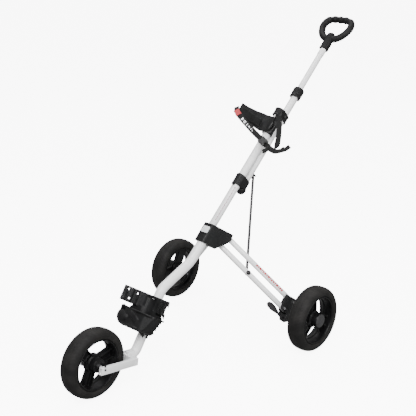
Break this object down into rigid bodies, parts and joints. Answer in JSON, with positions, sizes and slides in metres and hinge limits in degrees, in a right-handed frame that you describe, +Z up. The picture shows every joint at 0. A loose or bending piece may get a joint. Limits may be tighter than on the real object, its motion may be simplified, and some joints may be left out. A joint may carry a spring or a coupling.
{
  "type": "golf push trolley",
  "caption": "Three-wheeled golf push trolley: folding tube frame with a telescopic loop handle, bag cradle and strap, front fork and paired rear legs.",
  "frame": {"origin": "middle of the bounding box, on the ground", "axes": "+Z up, +Y from the front wheel towards the handle, +X to the trolley's left as seen from the front"},
  "size_m": [0.7266, 1.4114, 1.0521],
  "materials": {
    "white_paint": "satin",
    "black_plastic": "satin",
    "black_rubber": "matte",
    "grey_plastic": "satin",
    "steel": "brushed",
    "webbing": "woven",
    "foam_pad": "matte",
    "light_grey": "satin"
  },
  "bodies": {
    "frame": {"lower_frame_tube": "white_paint", "main_tube": "white_paint", "fork_crown": "white_paint", "fork_arm_left": "white_paint", "fork_arm_right": "white_paint", "front_axle": "steel", "fork_screw_upper_left": "black_plastic", "fork_screw_lower_left": "black_plastic", "fork_screw_upper_right": "black_plastic", "fork_screw_lower_right": "black_plastic", "hub_front_shell": "black_plastic", "hub_rear_shell": "black_plastic", "hub_badge": "light_grey", "hub_pin_upper_left": "steel", "hub_pin_lower_left": "steel", "hub_pin_upper_right": "steel", "hub_pin_lower_right": "steel", "lower_bag_bracket": "black_plastic", "bag_bracket_bolt": "black_plastic", "upper_bag_cradle": "black_plastic", "cradle_pad_left": "foam_pad", "cradle_pad_right": "foam_pad", "bag_strap": "webbing", "strap_buckle": "black_plastic", "top_guide": "black_plastic"},
    "carriage": {"carriage_sleeve": "black_plastic", "upper_tube": "white_paint", "rod_anchor": "black_plastic"},
    "handle": {"handle_tube": "white_paint", "handle_grip": "black_plastic"},
    "lock_ring": {"handle_lock": "black_plastic"},
    "latch": {"latch_button": "grey_plastic"},
    "front_wheel": {"front_wheel_tyre": "black_rubber", "front_wheel_rim": "black_plastic", "front_wheel_bush": "grey_plastic"},
    "leg_upper_left": {"leg_upper_left": "white_paint"},
    "leg_lower_left": {"leg_lower_left": "white_paint", "knob_bolt_left": "black_plastic"},
    "bracket_left": {"wheel_bracket_left": "black_plastic", "bracket_pin_upper_left": "steel", "bracket_pin_lower_left": "steel", "rear_axle_left": "steel"},
    "rear_wheel_left": {"rear_wheel_left_tyre": "black_rubber", "rear_wheel_left_rim": "black_plastic", "rear_wheel_left_bush": "grey_plastic", "hub_cap_left": "grey_plastic"},
    "leg_upper_right": {"leg_upper_right": "white_paint"},
    "leg_lower_right": {"leg_lower_right": "white_paint"},
    "bracket_right": {"wheel_bracket_right": "black_plastic", "bracket_pin_upper_right": "steel", "bracket_pin_lower_right": "steel", "rear_axle_right": "steel"},
    "rear_wheel_right": {"rear_wheel_right_tyre": "black_rubber", "rear_wheel_right_rim": "black_plastic", "rear_wheel_right_bush": "grey_plastic", "hub_cap_right": "grey_plastic"},
    "brace_left": {"brace_rod_left": "black_plastic"},
    "brake": {"brake_pedal": "black_plastic"}
  },
  "joints": [
    {"name": "fold_slide", "type": "slide", "parent": "frame", "child": "carriage", "axis": [0, -0.7373, -0.6756], "range_m": [0, 0.07616]},
    {"name": "handle_slide", "type": "slide", "parent": "carriage", "child": "handle", "axis": [0, 0.7373, 0.6756], "range_m": [-0.15, 0]},
    {"name": "handle_lock_twist", "type": "hinge", "parent": "carriage", "child": "lock_ring", "pos_m": [0, 0.43142, 0.79957], "axis": [0, 0.7373, 0.6756], "range_deg": [0, 60]},
    {"name": "latch_press", "type": "slide", "parent": "frame", "child": "latch", "axis": [-1, 0, 0], "range_m": [0, 0.003], "stiffness_N_per_m": 500},
    {"name": "front_wheel_spin", "type": "hinge", "parent": "frame", "child": "front_wheel", "pos_m": [0, -0.5907, 0.115], "axis": [1, 0, 0], "continuous": true},
    {"name": "leg_upper_left_fold", "type": "hinge", "parent": "frame", "child": "leg_upper_left", "pos_m": [0.03022, 0.0126, 0.36865], "axis": [-0.7163, 0.4714, -0.5145], "range_deg": [0, 60]},
    {"name": "leg_lower_left_fold", "type": "hinge", "parent": "frame", "child": "leg_lower_left", "pos_m": [0.01758, -0.02253, 0.35405], "axis": [-0.7163, 0.4714, -0.5145], "range_deg": [0, 60]},
    {"name": "bracket_left_fold", "type": "hinge", "parent": "leg_upper_left", "child": "bracket_left", "pos_m": [0.24992, 0.11052, 0.15247], "axis": [-0.7163, 0.4714, -0.5145], "range_deg": [-60, 0]},
    {"name": "rear_wheel_left_spin", "type": "hinge", "parent": "bracket_left", "child": "rear_wheel_left", "pos_m": [0.3268, 0.122, 0.115], "axis": [1, 0, 0], "continuous": true},
    {"name": "brace_left_swing", "type": "hinge", "parent": "carriage", "child": "brace_left", "pos_m": [0, 0.18692, 0.53944], "axis": [-0.7163, 0.4715, -0.5144], "range_deg": [0, 17.5]},
    {"name": "leg_upper_right_fold", "type": "hinge", "parent": "frame", "child": "leg_upper_right", "pos_m": [-0.03022, 0.0126, 0.36865], "axis": [-0.7163, -0.4714, 0.5145], "range_deg": [0, 60]},
    {"name": "leg_lower_right_fold", "type": "hinge", "parent": "frame", "child": "leg_lower_right", "pos_m": [-0.01758, -0.02253, 0.35405], "axis": [-0.7163, -0.4714, 0.5145], "range_deg": [0, 60]},
    {"name": "bracket_right_fold", "type": "hinge", "parent": "leg_upper_right", "child": "bracket_right", "pos_m": [-0.24992, 0.11052, 0.15247], "axis": [-0.7163, -0.4714, 0.5145], "range_deg": [-60, 0]},
    {"name": "rear_wheel_right_spin", "type": "hinge", "parent": "bracket_right", "child": "rear_wheel_right", "pos_m": [-0.3268, 0.122, 0.115], "axis": [1, 0, 0], "continuous": true},
    {"name": "brake_press", "type": "hinge", "parent": "bracket_left", "child": "brake", "pos_m": [0.24655, 0.05904, 0.11001], "axis": [0.7163, -0.4714, 0.5145], "range_deg": [0, 20]}
  ],
  "couplings": [
    {"joint": "leg_upper_left_fold", "follows": "fold_slide", "rad_per_m": 13.749},
    {"joint": "leg_lower_left_fold", "follows": "fold_slide", "rad_per_m": 13.749},
    {"joint": "bracket_left_fold", "follows": "fold_slide", "rad_per_m": -13.749},
    {"joint": "brace_left_swing", "follows": "fold_slide", "rad_per_m": 3.994},
    {"joint": "leg_upper_right_fold", "follows": "fold_slide", "rad_per_m": 13.749},
    {"joint": "leg_lower_right_fold", "follows": "fold_slide", "rad_per_m": 13.749},
    {"joint": "bracket_right_fold", "follows": "fold_slide", "rad_per_m": -13.749}
  ]
}
